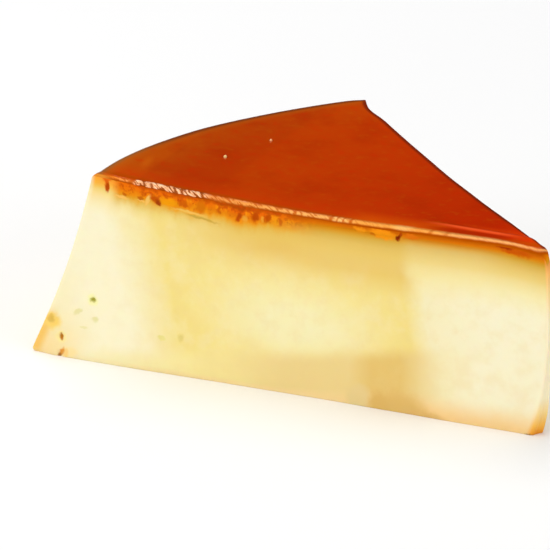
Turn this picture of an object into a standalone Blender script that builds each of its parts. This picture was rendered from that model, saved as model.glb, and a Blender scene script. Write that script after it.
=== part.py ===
"""A slice of condensed milk flan: one eighth of a round flan, turned out of its tin.

The custard is one solid wedge. The caramel is the layer that soaked into its top in the tin,
and it shows as a band along both cuts and round the shoulder of the outer wall.
The front cut faces -Y, the tip points to +X and the outer wall is at -X.
The origin is under the middle of the slice's box, on the surface that the slice rests on.
Every size is in metres.
"""

import math

import bmesh
import bpy

# Driving sizes of the whole flan, which was made in a round tin with sloping sides
SLICES_IN_FLAN = 8
FOOT_RADIUS = 0.110
RIM_RADIUS = 0.0974
HEIGHT = 0.0397
WALL_HOLLOW = 0.00136
RIM_ROUND = 0.0022
FOOT_ROUND = 0.0010

# Top: dished between the tip and the rim, with soft edges along the cuts
TOP_SAG = 0.0015
RIM_DIP = 0.0004
TIP_DROOP = 0.0004
TIP_DROOP_LENGTH = 0.012
EDGE_ROUND = 0.0008

# Caramel layer: thick in the outer half and thin in the inner half, with a wavy underside,
# a lap down the outer wall and a deeper soaked patch at the tip
CARAMEL_OUTER = 0.0029
CARAMEL_INNER = 0.0017
RIM_LAP = 0.0007
RIM_LAP_LENGTH = 0.013
TIP_SOAK = 0.0009
TIP_SOAK_LENGTH = 0.020
THINS_FROM = 0.60
THINS_TO = 0.42
CARAMEL_WAVE = 0.00018
CARAMEL_WAVES_ALONG = 23.0
CARAMEL_WAVES_ROUND = 5.0
LAYER_GAP = 0.0003

# Tip: blunt at the foot, leaning out at mid height and tucked under at the base
TIP_ROUND_TOP = 0.0007
TIP_ROUND_FOOT = 0.0037
TIP_ROUND_FADE = 0.0115
TIP_LEAN = 0.00125
TIP_UNDERCUT = 0.0014
TIP_UNDERCUT_FADE = 0.0077
TIP_REACH = 0.022

# Back cut: a small lip at the outer corner and a shallow nick beside it, where the knife went in
LIP = 0.0011
LIP_LENGTH = 0.0034
NICK = 0.0006
NICK_FROM_RIM = 0.0058
NICK_LENGTH = 0.0026

# Mesh rows: how many along the slice, round it and up it, and how much they crowd to the edges
ROWS_ALONG = 26
ROWS_ROUND = 16
CUSTARD_ROWS_UP = 9
CARAMEL_ROWS_UP = 2
CROWD_ALONG = 0.85
CROWD_ROUND = 0.95
CUSTARD_CROWD_UP = 0.90
CARAMEL_CROWD_UP = 0.0

# Materials: linear colours and roughness
CUSTARD_COLOUR = (0.90, 0.74, 0.42)
CUSTARD_ROUGHNESS = 0.35
CARAMEL_COLOUR = (0.50, 0.09, 0.01)
CARAMEL_ROUGHNESS = 0.12
SHARP_FROM = math.radians(40.0)

SLICE_ANGLE = math.tau / SLICES_IN_FLAN


def smooth_step(start, end, value):
    """Rise from 0 to 1 as the value goes from start to end."""
    share = min(max((value - start) / (end - start), 0.0), 1.0)
    return share * share * (3.0 - 2.0 * share)


def bell(distance, length):
    """Fall from 1 to 0 with the distance."""
    return math.exp(-(distance / length) ** 2)


def quarter_round(to_edge, size):
    """Drop of a rounded edge at a distance from it."""
    near = min(max(1.0 - to_edge / size, 0.0), 1.0)
    return size * (1.0 - math.sqrt(1.0 - near * near))


def wall_radius(height):
    """Radius of the outer wall, which slopes in towards the top, is slightly hollow and has a soft foot."""
    share = height / HEIGHT
    straight = FOOT_RADIUS + (RIM_RADIUS - FOOT_RADIUS) * share
    return straight - WALL_HOLLOW * math.sin(math.pi * share) - quarter_round(height, FOOT_ROUND)


SHOULDER_RADIUS = wall_radius(HEIGHT - RIM_ROUND)


def dished_top(radius, angle):
    """Height of the top, before its edges are rounded."""
    share = min(radius / SHOULDER_RADIUS, 1.0)
    sag = TOP_SAG * 4.0 * share * (1.0 - share)
    dip = RIM_DIP * share * share * math.sin(math.pi * angle / SLICE_ANGLE)
    return HEIGHT - sag - dip - TIP_DROOP * bell(radius, TIP_DROOP_LENGTH)


def top(radius, angle):
    """Height of the caramel's upper side."""
    to_cut = radius * math.sin(min(angle, SLICE_ANGLE - angle))
    to_rim = SHOULDER_RADIUS - radius
    drop = max(quarter_round(to_cut, EDGE_ROUND), quarter_round(to_rim, RIM_ROUND))
    return dished_top(radius, angle) - drop


def caramel_depth(radius, angle):
    """How deep the caramel soaked in, measured from the dished top."""
    share = radius / SHOULDER_RADIUS
    outer = smooth_step(THINS_TO, THINS_FROM, share)
    wave = CARAMEL_WAVE * math.sin(CARAMEL_WAVES_ALONG * share + CARAMEL_WAVES_ROUND * angle)
    lap = RIM_LAP * bell(SHOULDER_RADIUS - radius, RIM_LAP_LENGTH)
    soak = TIP_SOAK * bell(radius, TIP_SOAK_LENGTH)
    return CARAMEL_INNER + (CARAMEL_OUTER - CARAMEL_INNER) * outer + wave + lap + soak


def caramel_underside(radius, angle):
    """Height of the caramel's lower side."""
    return dished_top(radius, angle) - caramel_depth(radius, angle)


def custard_top(radius, angle):
    """Height of the custard's upper side, just clear of the caramel."""
    return caramel_underside(radius, angle) - LAYER_GAP


def underside(radius, angle):
    """Height of the custard's lower side, which is flat at any radius and angle."""
    return 0.0


def tip_round(height):
    """Radius at which the slice's blunt tip is cut off."""
    return TIP_ROUND_TOP + (TIP_ROUND_FOOT - TIP_ROUND_TOP) * bell(height, TIP_ROUND_FADE)


def tip_push(height):
    """How far the tip stands out along X from where its blunt end would be."""
    middle = 2.0 * height / HEIGHT - 1.0
    lean = TIP_LEAN * (1.0 - middle * middle)
    undercut = TIP_UNDERCUT * math.exp(-height / TIP_UNDERCUT_FADE)
    return tip_round(height) + lean - undercut


def back_cut_wave(radius):
    """How far the back cut stands out from a plane."""
    from_rim = SHOULDER_RADIUS - radius
    return LIP * bell(from_rim, LIP_LENGTH) - NICK * bell(from_rim - NICK_FROM_RIM, NICK_LENGTH)


def slice_point(along, swing, up, low, high):
    """Place in the slice of a point of a unit block.

    along runs from the tip to the outer wall, swing from the front cut to the back cut,
    and up from the low surface to the high one.
    """
    angle = swing * SLICE_ANGLE
    level = low(SHOULDER_RADIUS, angle) * (1.0 - up) + high(SHOULDER_RADIUS, angle) * up
    inner = tip_round(level)
    radius = inner + (wall_radius(level) - inner) * along
    height = low(radius, angle) * (1.0 - up) + high(radius, angle) * up
    near_tip = 1.0 - smooth_step(0.0, TIP_REACH, radius - inner)
    x = -radius * math.cos(angle) + tip_push(level) * near_tip
    y = radius * math.sin(angle)
    wave = back_cut_wave(radius) * swing ** 3 * level / HEIGHT
    x += wave * math.sin(SLICE_ANGLE)
    y += wave * math.cos(SLICE_ANGLE)
    return x, y, height


def crowd(share, strength):
    """Draw even rows, from 0 to 1, in towards both edges."""
    return share - strength * math.sin(math.tau * share) / math.tau


def unit_block(rows_up):
    """A cube from 0 to 1 on each axis, cut into rows along, round and up the slice."""
    bm = bmesh.new()
    bmesh.ops.create_cube(bm, size=1.0)
    bmesh.ops.translate(bm, verts=bm.verts, vec=(0.5, 0.5, 0.5))
    for axis, rows in enumerate((ROWS_ALONG, ROWS_ROUND, rows_up)):
        edges = [e for e in bm.edges if abs(e.verts[0].co[axis] - e.verts[1].co[axis]) > 0.5]
        bmesh.ops.subdivide_edges(bm, edges=edges, cuts=rows - 1, use_grid_fill=True)
    return bm


def layer(name, rows_up, crowd_up, low, high):
    """One layer of the slice, between a low and a high surface."""
    bm = unit_block(rows_up)
    for vert in bm.verts:
        along = crowd(vert.co.x, CROWD_ALONG)
        swing = crowd(vert.co.y, CROWD_ROUND)
        up = crowd(vert.co.z, crowd_up)
        vert.co = slice_point(along, swing, up, low, high)
    # The block is mirrored as its rows turn to run from the tip towards -X, so its faces are turned back
    bmesh.ops.reverse_faces(bm, faces=bm.faces)
    mesh = bpy.data.meshes.new(name)
    bm.to_mesh(mesh)
    bm.free()
    mesh.shade_smooth()
    mesh.set_sharp_from_angle(angle=SHARP_FROM)
    return bpy.data.objects.new(name, mesh)


def food_material(name, colour, roughness):
    """A moist, non-metallic surface."""
    material = bpy.data.materials.new(name)
    material.use_nodes = True
    shader = material.node_tree.nodes["Principled BSDF"]
    shader.inputs["Base Color"].default_value = (*colour, 1.0)
    shader.inputs["Roughness"].default_value = roughness
    shader.inputs["Metallic"].default_value = 0.0
    return material


def centre_on_floor(objects):
    """Move the meshes so that the middle of their box, seen from above, is at the origin."""
    points = [vert.co for obj in objects for vert in obj.data.vertices]
    for axis in range(2):
        places = [point[axis] for point in points]
        middle = (min(places) + max(places)) / 2.0
        for point in points:
            point[axis] -= middle


for old in list(bpy.data.objects):
    bpy.data.objects.remove(old)

custard = layer("custard", CUSTARD_ROWS_UP, CUSTARD_CROWD_UP, underside, custard_top)
custard.data.materials.append(food_material("custard", CUSTARD_COLOUR, CUSTARD_ROUGHNESS))

caramel = layer("caramel", CARAMEL_ROWS_UP, CARAMEL_CROWD_UP, caramel_underside, top)
caramel.data.materials.append(food_material("caramel", CARAMEL_COLOUR, CARAMEL_ROUGHNESS))

centre_on_floor([custard, caramel])

flan_slice = bpy.data.collections.new("flan_slice")
bpy.context.scene.collection.children.link(flan_slice)
flan_slice.objects.link(custard)
flan_slice.objects.link(caramel)
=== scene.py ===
"""The looks of a slice of condensed milk flan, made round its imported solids.

The custard and the caramel are remade as fine meshes that keep the forms of their solids.
The front cut faces -Y, the tip points to +X and the outer wall is at -X. Sizes are in metres.
Places are given by the distance from the slice's tip, the angle from the front cut and the height.
"""

import math
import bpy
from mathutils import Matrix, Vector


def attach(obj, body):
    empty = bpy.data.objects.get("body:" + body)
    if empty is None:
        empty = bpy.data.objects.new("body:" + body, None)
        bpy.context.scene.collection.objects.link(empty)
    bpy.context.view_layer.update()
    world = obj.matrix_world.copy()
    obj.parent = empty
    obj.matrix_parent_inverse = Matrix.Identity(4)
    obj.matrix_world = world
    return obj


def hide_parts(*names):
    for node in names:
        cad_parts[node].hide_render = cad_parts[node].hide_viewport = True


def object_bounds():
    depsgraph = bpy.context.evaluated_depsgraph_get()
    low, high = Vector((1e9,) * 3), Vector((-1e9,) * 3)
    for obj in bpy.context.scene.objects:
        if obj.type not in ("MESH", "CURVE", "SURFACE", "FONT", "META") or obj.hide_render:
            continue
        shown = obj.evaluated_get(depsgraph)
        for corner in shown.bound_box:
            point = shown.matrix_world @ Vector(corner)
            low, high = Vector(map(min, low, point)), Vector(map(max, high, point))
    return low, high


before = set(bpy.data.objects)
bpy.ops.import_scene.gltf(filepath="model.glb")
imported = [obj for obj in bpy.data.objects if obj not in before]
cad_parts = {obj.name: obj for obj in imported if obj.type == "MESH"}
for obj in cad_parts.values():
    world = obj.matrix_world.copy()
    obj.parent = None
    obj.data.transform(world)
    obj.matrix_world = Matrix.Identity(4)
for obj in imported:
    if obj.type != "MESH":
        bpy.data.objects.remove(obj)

from types import SimpleNamespace

import bmesh
import bpy
from mathutils import Matrix, Vector, noise

cad_low, cad_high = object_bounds()

# The custard: milk, egg and condensed milk, baked until just set in a round tin with sloping sides.
# It was turned out and cut into eighths with a wet knife, so its cuts are silky and its wall is browned.
# The caramel was cut with it as one wedge, so both layers are bent from blocks by the same functions.
SLICE_ANGLE = math.tau / 8
FOOT_RADIUS = 0.110
RIM_RADIUS = 0.0974
HEIGHT = 0.0397
WALL_HOLLOW = 0.00110
RIM_ROUND = 0.0022
FOOT_ROUND = 0.0010
# The top sags between the tip and the rim, whose front half stands up a little
TOP_SAG = 0.0015
RIM_DIP = 0.0004
RIM_RISE = 0.00031
RIM_RISE_LENGTH = 0.014
RIM_RISE_STARTS = (0.0, 0.15)
RIM_RISE_ENDS = (0.45, 0.70)
BACK_CORNER_DROOP = 0.00040
BACK_CORNER_REACH = 0.0020
TIP_DROOP = 0.0004
TIP_DROOP_LENGTH = 0.012
TIP_SAG = 0.0010
TIP_SAG_LENGTH = 0.0056
# The tip is blunt at its foot, leans out at mid height and is tucked under at its base
TIP_ROUND_TOP = 0.0007
TIP_ROUND_FOOT = 0.0037
TIP_ROUND_FADE = 0.0115
TIP_LEAN = 0.00125
TIP_UNDERCUT = 0.0014
TIP_UNDERCUT_FADE = 0.0077
TIP_REACH = 0.022
TIP_STANDS_OUT = 0.001385
# The back cut has a lip at its outer corner and a shallow nick beside it
LIP = 0.0013
LIP_LENGTH = 0.0037
NICK = 0.0006
NICK_FROM_RIM = 0.0083
NICK_LENGTH = 0.0038
SHARP_FROM = math.radians(50.0)
PLACE_KEYS = ("depth", "to_wall", "to_tip", "to_front", "to_back")
TIP_X = cad_high.x - TIP_STANDS_OUT
FRONT_Y = cad_low.y


def smooth_step(start, end, value):
    """Rise from 0 to 1 as the value goes from start to end."""
    share = min(max((value - start) / (end - start), 0.0), 1.0)
    return share * share * (3.0 - 2.0 * share)


def bell(distance, length):
    """Fall from 1 to 0 with the distance."""
    return math.exp(-(distance / length) ** 2)


def quarter_round(to_edge, size):
    """Drop of a rounded edge at a distance from it."""
    near = min(max(1.0 - to_edge / size, 0.0), 1.0)
    return size * (1.0 - math.sqrt(1.0 - near * near))


def wall_radius(height):
    """Radius of the outer wall at a height."""
    share = height / HEIGHT
    straight = FOOT_RADIUS + (RIM_RADIUS - FOOT_RADIUS) * share
    return straight - WALL_HOLLOW * math.sin(math.pi * share) - quarter_round(height, FOOT_ROUND)


SHOULDER_RADIUS = wall_radius(HEIGHT - RIM_ROUND)


def dished_top(radius, angle):
    """Height of the top before its edges are rounded."""
    share = min(radius / SHOULDER_RADIUS, 1.0)
    sag = TOP_SAG * 4.0 * share * (1.0 - share)
    dip = RIM_DIP * share * share * math.sin(math.pi * angle / SLICE_ANGLE)
    swing = angle / SLICE_ANGLE
    to_rim = max(SHOULDER_RADIUS - radius, 0.0)
    rise = RIM_RISE * smooth_step(*RIM_RISE_STARTS, swing) * (1.0 - smooth_step(*RIM_RISE_ENDS, swing))
    rise *= bell(to_rim, RIM_RISE_LENGTH)
    from_back = max(1.0 - swing, 0.0)
    droop = TIP_DROOP * bell(radius, TIP_DROOP_LENGTH)
    droop += TIP_SAG * bell(radius, TIP_SAG_LENGTH) * from_back * from_back
    from_corner = math.hypot(to_rim, radius * (SLICE_ANGLE - angle))
    droop += BACK_CORNER_DROOP * bell(from_corner, BACK_CORNER_REACH)
    return HEIGHT - sag - dip - droop + rise


def tip_round(height):
    """Radius at which the blunt tip is cut off."""
    return TIP_ROUND_TOP + (TIP_ROUND_FOOT - TIP_ROUND_TOP) * bell(height, TIP_ROUND_FADE)


def tip_push(height):
    """How far the tip stands out along X from its blunt end."""
    middle = 2.0 * height / HEIGHT - 1.0
    lean = TIP_LEAN * (1.0 - middle * middle)
    return tip_round(height) + lean - TIP_UNDERCUT * math.exp(-height / TIP_UNDERCUT_FADE)


def back_cut_wave(radius):
    """How far the back cut stands out from a plane."""
    from_rim = SHOULDER_RADIUS - radius
    return LIP * bell(from_rim, LIP_LENGTH) - NICK * bell(from_rim - NICK_FROM_RIM, NICK_LENGTH)


def on_front_cut(from_tip, height):
    """The place on the front cut at a distance from the tip and a height."""
    return Vector((TIP_X - from_tip, FRONT_Y, height))


def crowd(share, strength):
    """Draw even rows, from 0 to 1, in towards both edges."""
    return share - strength * math.sin(math.tau * share) / math.tau


def piece_from(bm, name):
    """A new piece whose mesh is a finished bmesh."""
    mesh = bpy.data.meshes.new(name)
    bm.to_mesh(mesh)
    bm.free()
    piece = bpy.data.objects.new(name, mesh)
    bpy.context.scene.collection.objects.link(piece)
    return piece


def wedge_layer(name, rows, crowding, low, high, relief, upper_look=False):
    """A layer of the wedge between two surfaces, cut into rows along, round and up it.

    Each point keeps its depth below the dished top and its distances from the wall, the tip and the cuts.
    The upper side may have a look of its own.
    """
    bm = bmesh.new()
    bmesh.ops.create_cube(bm, size=1.0)
    bmesh.ops.translate(bm, verts=bm.verts, vec=(0.5, 0.5, 0.5))
    for axis, count in enumerate(rows):
        edges = [e for e in bm.edges if abs(e.verts[0].co[axis] - e.verts[1].co[axis]) > 0.5]
        bmesh.ops.subdivide_edges(bm, edges=edges, cuts=count - 1, use_grid_fill=True)
    for face in bm.faces:
        face.material_index = int(upper_look and face.calc_center_median().z > 0.999)
    layers = {key: bm.verts.layers.float.new(key) for key in PLACE_KEYS}
    for vert in bm.verts:
        along, swing, up = (crowd(share, strength) for share, strength in zip(vert.co, crowding))
        angle = swing * SLICE_ANGLE
        level = low(SHOULDER_RADIUS, angle) * (1.0 - up) + high(SHOULDER_RADIUS, angle) * up
        inner = tip_round(level)
        radius = inner + (wall_radius(level) - inner) * along
        height = low(radius, angle) * (1.0 - up) + high(radius, angle) * up
        near_tip = 1.0 - smooth_step(0.0, TIP_REACH, radius - inner)
        x = -radius * math.cos(angle) + tip_push(level) * near_tip
        y = radius * math.sin(angle)
        wave = back_cut_wave(radius) * swing ** 3 * level / HEIGHT
        x += wave * math.sin(SLICE_ANGLE)
        y += wave * math.cos(SLICE_ANGLE)
        vert[layers["depth"]] = dished_top(radius, angle) - height
        vert[layers["to_wall"]] = wall_radius(level) - radius
        vert[layers["to_tip"]] = radius - inner
        vert[layers["to_front"]] = y
        vert[layers["to_back"]] = radius * math.sin(SLICE_ANGLE - angle)
        shift = relief(radius, angle, height)
        vert.co = (TIP_X + x + shift[0], FRONT_Y + y + shift[1], height + shift[2])
    # The block is mirrored as its rows turn to run from the tip towards -X, so its faces are turned back
    bmesh.ops.reverse_faces(bm, faces=bm.faces)
    layer = piece_from(bm, name)
    layer.data.shade_smooth()
    layer.data.set_sharp_from_angle(angle=SHARP_FROM)
    return layer


# The custard reaches up to where the caramel soaked in. Its cuts have a slow wobble from the knife,
# a few burst pores, a crease below the caramel's band and a foot that spreads near the wall.
CUSTARD_ROWS = (300, 26, 96)
CUSTARD_CROWDING = (0.55, 0.95, 0.45)
CARAMEL_OUTER = 0.0029
CARAMEL_INNER = 0.0017
RIM_LAP = 0.0007
RIM_LAP_LENGTH = 0.013
TIP_SOAK = 0.0009
TIP_SOAK_LENGTH = 0.020
THINS_FROM = 0.60
THINS_TO = 0.42
CARAMEL_WAVE = 0.00018
CARAMEL_WAVES_ALONG = 23.0
CARAMEL_WAVES_ROUND = 5.0
WOBBLE = 0.00016
WOBBLE_LENGTH = 0.013
RIPPLE = 0.00003
RIPPLE_LENGTH = 0.0028
RIPPLE_FLATNESS = 2.0
CUT_FOOT_ROUND = 0.00012
FOOT_FLARE = 0.0012
FOOT_FLARE_HEIGHT = 0.0055
FOOT_FLARE_ALONG = (0.045, 0.105)
FOOT_FLARE_EASES = (0.1035, 0.1100)
FOOT_FLARE_EASING = 0.6
RELIEF_REACH = 0.004
RELIEF_CLEAR_OF_TIP = 0.010
TIP_EDGE_ROUND = 0.25
TIP_BACK_EDGE_ROUND = 0.08
PORE_EXTENT = 3.0
# Each pore in the front cut: distance from the tip, height, size and depth
PORES = (
    (0.0969, 0.0127, 0.00055, 0.0005),
    (0.1034, 0.0042, 0.00060, 0.0005),
    (0.1033, 0.0007, 0.00070, 0.0006),
    (0.1058, 0.0072, 0.00070, 0.0003),
    (0.1001, 0.0097, 0.00070, 0.00015),
    (0.0963, 0.0086, 0.00060, 0.00015),
    (0.0818, 0.0071, 0.00060, 0.0002),
    (0.0776, 0.0079, 0.00070, 0.0002),
    (0.0943, 0.0374, 0.00080, 0.0004),
    (0.0836, 0.0358, 0.00090, 0.0004),
    (0.0657, 0.0353, 0.00060, 0.0003),
    (0.0622, 0.0358, 0.00080, 0.0004),
    (0.0594, 0.0363, 0.00060, 0.0003),
    (0.0314, 0.0367, 0.00055, 0.0004),
)
CREASE_DEPTH = 0.00012
CREASE_WIDTH = 0.00035
CREASE_BELOW_TOP = 0.0050
CREASE_FROM = 0.070
CREASE_TO = 0.083
CREASE_FADE = 0.004


def caramel_underside(radius, angle):
    """Height to which the caramel soaked in."""
    share = radius / SHOULDER_RADIUS
    outer = smooth_step(THINS_TO, THINS_FROM, share)
    wave = CARAMEL_WAVE * math.sin(CARAMEL_WAVES_ALONG * share + CARAMEL_WAVES_ROUND * angle)
    lap = RIM_LAP * bell(SHOULDER_RADIUS - radius, RIM_LAP_LENGTH)
    soak = TIP_SOAK * bell(radius, TIP_SOAK_LENGTH)
    depth = CARAMEL_INNER + (CARAMEL_OUTER - CARAMEL_INNER) * outer + wave + lap + soak
    return dished_top(radius, angle) - depth


def resting_face(radius, angle):
    """Height of the flat underside, the same everywhere."""
    return 0.0


def knife_wobble(along, height, seed):
    """How far a cut lies inside its plane where the knife wandered."""
    slow = noise.noise(Vector((along, height, seed)) / WOBBLE_LENGTH)
    fine = noise.noise(Vector((along, height * RIPPLE_FLATNESS, seed)) / RIPPLE_LENGTH)
    return WOBBLE * (slow + 0.5) + RIPPLE * fine


def front_dents(radius, height, depth):
    """How far the front cut is pitted by its pores and its crease."""
    dent = 0.0
    for from_tip, pore_height, size, pore_depth in PORES:
        distance = math.hypot(radius - from_tip, height - pore_height)
        if distance < PORE_EXTENT * size:
            dent += pore_depth * bell(distance, size)
    ends = smooth_step(CREASE_FROM, CREASE_FROM + CREASE_FADE, radius)
    ends *= 1.0 - smooth_step(CREASE_TO - CREASE_FADE, CREASE_TO, radius)
    return dent + ends * CREASE_DEPTH * bell(depth - CREASE_BELOW_TOP, CREASE_WIDTH)


def cut_relief(radius, angle, height):
    """Shift of a point of the wedge for the wobble and dents of the cut that it is near."""
    to_front = radius * math.sin(angle)
    to_back = radius * math.sin(SLICE_ANGLE - angle)
    depth = dished_top(radius, angle) - height
    front = knife_wobble(radius, height, 0.0) + front_dents(radius, height, depth)
    front += quarter_round(height, CUT_FOOT_ROUND)
    # The custard's weight spreads the front cut's foot a little towards the wall
    flare = FOOT_FLARE * bell(height, FOOT_FLARE_HEIGHT) * smooth_step(*FOOT_FLARE_ALONG, radius)
    front -= flare * (1.0 - FOOT_FLARE_EASING * smooth_step(*FOOT_FLARE_EASES, radius))
    back = knife_wobble(radius, height, 1.0) - WOBBLE / 2.0 + quarter_round(height, CUT_FOOT_ROUND)
    clear = smooth_step(0.0, RELIEF_CLEAR_OF_TIP, radius)
    front *= clear * max(0.0, 1.0 - to_front / RELIEF_REACH)
    back *= clear * max(0.0, 1.0 - to_back / RELIEF_REACH)
    # The two upright edges of the blunt tip are rounded
    end = tip_round(height)
    from_end = max(radius - end, 0.0)
    half_width = end * SLICE_ANGLE / 2.0
    front += quarter_round(from_end, TIP_EDGE_ROUND * end) * max(0.0, 1.0 - to_front / half_width)
    back += quarter_round(from_end, TIP_BACK_EDGE_ROUND * end) * max(0.0, 1.0 - to_back / half_width)
    return -back * math.sin(SLICE_ANGLE), front - back * math.cos(SLICE_ANGLE), 0.0


custard = wedge_layer(
    "custard_wedge", CUSTARD_ROWS, CUSTARD_CROWDING, resting_face, caramel_underside, cut_relief
)

# The colours of the cut: cream custard, yellower in the middle, stained by the caramel from above.
# They depend on the place in the slice alone, so the stain runs on from the caramel into the custard.
# A range is given by its start and its end, and sometimes by the values that it leads from and to.


def paint(red, green, blue):
    """A colour given from 0 to 255, as the shader's linear values."""
    shares = [channel / 255.0 for channel in (red, green, blue)]
    return (*[s / 12.92 if s <= 0.04045 else ((s + 0.055) / 1.055) ** 2.4 for s in shares], 1.0)


def feed(node, inputs):
    """Set a node's inputs, each to a value or to another node's output."""
    for name, value in inputs.items():
        if isinstance(value, bpy.types.NodeSocket):
            node.id_data.links.new(value, node.inputs[name])
        else:
            node.inputs[name].default_value = value


def add_to(tree, kind, inputs, **settings):
    """A new shader node with its settings and inputs."""
    made = tree.nodes.new("ShaderNode" + kind)
    for name, value in settings.items():
        setattr(made, name, value)
    feed(made, inputs)
    return made


def add(kind, inputs, **settings):
    """A shader node in the tree of the nodes that feed it."""
    feeds = [value for value in inputs.values() if isinstance(value, bpy.types.NodeSocket)]
    return add_to(feeds[0].id_data, kind, inputs, **settings)


def mixed(share, first, second):
    """The first colour turning to the second as the share goes from 0 to 1."""
    node = add("Mix", {0: share, 6: first, 7: second}, data_type="RGBA")
    return node.outputs[2]


def mixed_value(share, first, second):
    """The first value turning to the second as the share goes from 0 to 1."""
    return add("Mix", {0: share, 2: first, 3: second}).outputs[0]


def ranged(value, start, end, low=0.0, high=1.0):
    """A value eased from low to high as it goes from start to end."""
    inputs = {"Value": value, "From Min": start, "From Max": end, "To Min": low, "To Max": high}
    return add("MapRange", inputs, interpolation_type="SMOOTHSTEP").outputs["Result"]


def calculated(operation, first, second=0.0):
    """The result of a sum on one or two values."""
    return add("Math", {0: first, 1: second}, operation=operation).outputs[0]


def speckle(where, scale, detail=2.0, roughness=0.5):
    """Noise from 0 to 1."""
    inputs = {"Vector": where, "Scale": scale, "Detail": detail, "Roughness": roughness}
    return add("TexNoise", inputs).outputs["Fac"]


def plus(first, second):
    """The sum of two values."""
    return calculated("ADD", first, second)


def minus(first, second):
    """The first value less the second."""
    return calculated("SUBTRACT", first, second)


def times(first, second):
    """Two values multiplied, or two shares that both have to hold."""
    return calculated("MULTIPLY", first, second)


def spot(where, centre, reach, softness, turn=(0.0, 0.0, 0.0)):
    """1 within an ellipsoid round a centre, falling to 0 at its reach."""
    inputs = {"Vector": where, "Location": centre, "Rotation": turn, "Scale": reach}
    placed = add("Mapping", inputs, vector_type="TEXTURE").outputs[0]
    distance = add("VectorMath", {0: placed}, operation="LENGTH").outputs["Value"]
    return ranged(distance, 1.0, 1.0 - softness)


def ramp(share, stops):
    """Colours and cover along a share, from stops of a place, a colour and how much it covers."""
    made = add("ValToRGB", {0: share})
    elements = made.color_ramp.elements
    while len(elements) < len(stops):
        elements.new(0.5)
    for element, (place, colour, cover) in zip(elements, stops):
        element.position = place
        element.color = (*colour[:3], cover)
    return made.outputs["Color"], made.outputs["Alpha"]


def patches(where, scale, detail, roughness, start, end, cover):
    """Patches by noise: none where it is below the start, and covering most from the end on."""
    return ranged(speckle(where, scale, detail, roughness), start, end, 0.0, cover)


def wander(where, scale, detail, size):
    """A value that wanders by noise, up to half its size to either side of 0."""
    return times(minus(speckle(where, scale, detail), 0.5), size)


def near(value, place, start, end, high=1.0):
    """Rise to a high value where another value comes near to a place, from a start to an end distance."""
    distance = calculated("ABSOLUTE", minus(value, place))
    return ranged(distance, start, end, 0.0, high)


# How far in the look of the front cut goes, and the length along which its tones are given
FRONT_LOOK_DEPTH = (0.0030, 0.0015)
CUT_LENGTH = 0.110


def place_in_slice(tree):
    """Everything about a point's place that the colours depend on, each as a node's output."""
    where = add_to(tree, "TexCoord", {}).outputs["Object"]
    sides = add("SeparateXYZ", {0: where}).outputs
    at = SimpleNamespace(where=where, height=sides["Z"], from_tip=minus(TIP_X, sides["X"]))
    for key in PLACE_KEYS:
        setattr(at, key, add_to(tree, "Attribute", {}, attribute_name=key).outputs["Fac"])
    at.along = calculated("DIVIDE", at.from_tip, CUT_LENGTH)
    at.on_front = ranged(at.to_front, *FRONT_LOOK_DEPTH)
    return at


# Tones of the cut: along its middle and along its foot, as shares of the slice's length from the tip
CREAM = paint(252, 242, 207)
SOFT_CREAM = paint(249, 238, 196)
PALE = paint(248, 237, 192)
BUTTER = paint(248, 231, 158)
STRAW = paint(244, 223, 138)
SAND = paint(238, 213, 145)
TAN = paint(232, 198, 117)
INSIDE_PALE = paint(250, 236, 192)
INSIDE_BUTTER = paint(248, 226, 158)
MIDDLE_TONES = (
    (0.00, CREAM, 1.0),
    (0.10, CREAM, 1.0),
    (0.222, PALE, 1.0),
    (0.264, STRAW, 1.0),
    (0.500, BUTTER, 1.0),
    (0.732, STRAW, 1.0),
    (0.838, CREAM, 1.0),
    (0.900, CREAM, 1.0),
    (0.955, SOFT_CREAM, 1.0),
)
FOOT_TONES = (
    (0.00, CREAM, 1.0),
    (0.13, CREAM, 1.0),
    (0.190, PALE, 1.0),
    (0.240, SAND, 1.0),
    (0.275, TAN, 1.0),
    (0.330, TAN, 1.0),
    (0.375, SAND, 1.0),
    (0.50, SAND, 1.0),
    (0.66, BUTTER, 1.0),
    (0.90, PALE, 1.0),
)
CUT_LEAN = 0.27
CUT_MIDDLE = 0.020
DRIFT_GRAIN = (95.0, 3.0)
DRIFT = 0.006
FOOT_TONE_LEAN = 0.165
FOOT_TONE_DRIFT = 0.4
FOOT_TONE_FROM = 0.0196
FOOT_TONE_TO = 0.0154
BRIGHT_PATCH = (0.053, 0.0146)
BRIGHT_REACH = (0.024, 0.020, 0.0110)
BRIGHT_SOFTNESS = 0.9
BRIGHT_TONE = paint(248, 238, 186)
# The pale end by the tip: where it starts along the cut, and how far down it is turned to butter
PALE_END = (0.0292, 0.0246)
PALE_END_DOWN = (0.0150, 0.0080, 0.0, 0.7)
WISPS_THIN = (0.098, 0.080, 0.3, 1.0)
# Patches of a tone: the noise's scale, detail and roughness, its start and end, and how much they cover
WISPS = (260.0, 4.0, 0.6, 0.42, 0.72, 0.26)
BLOOM = (180.0, 4.0, 0.6, 0.42, 0.72, 0.22)
FOOT_SAND = (220.0, 3.0, 0.5, 0.40, 0.70, 0.25)
INSIDE_CLOUDS = (34.0, 2.0, 0.5, 0.35, 0.70, 1.0)


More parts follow.
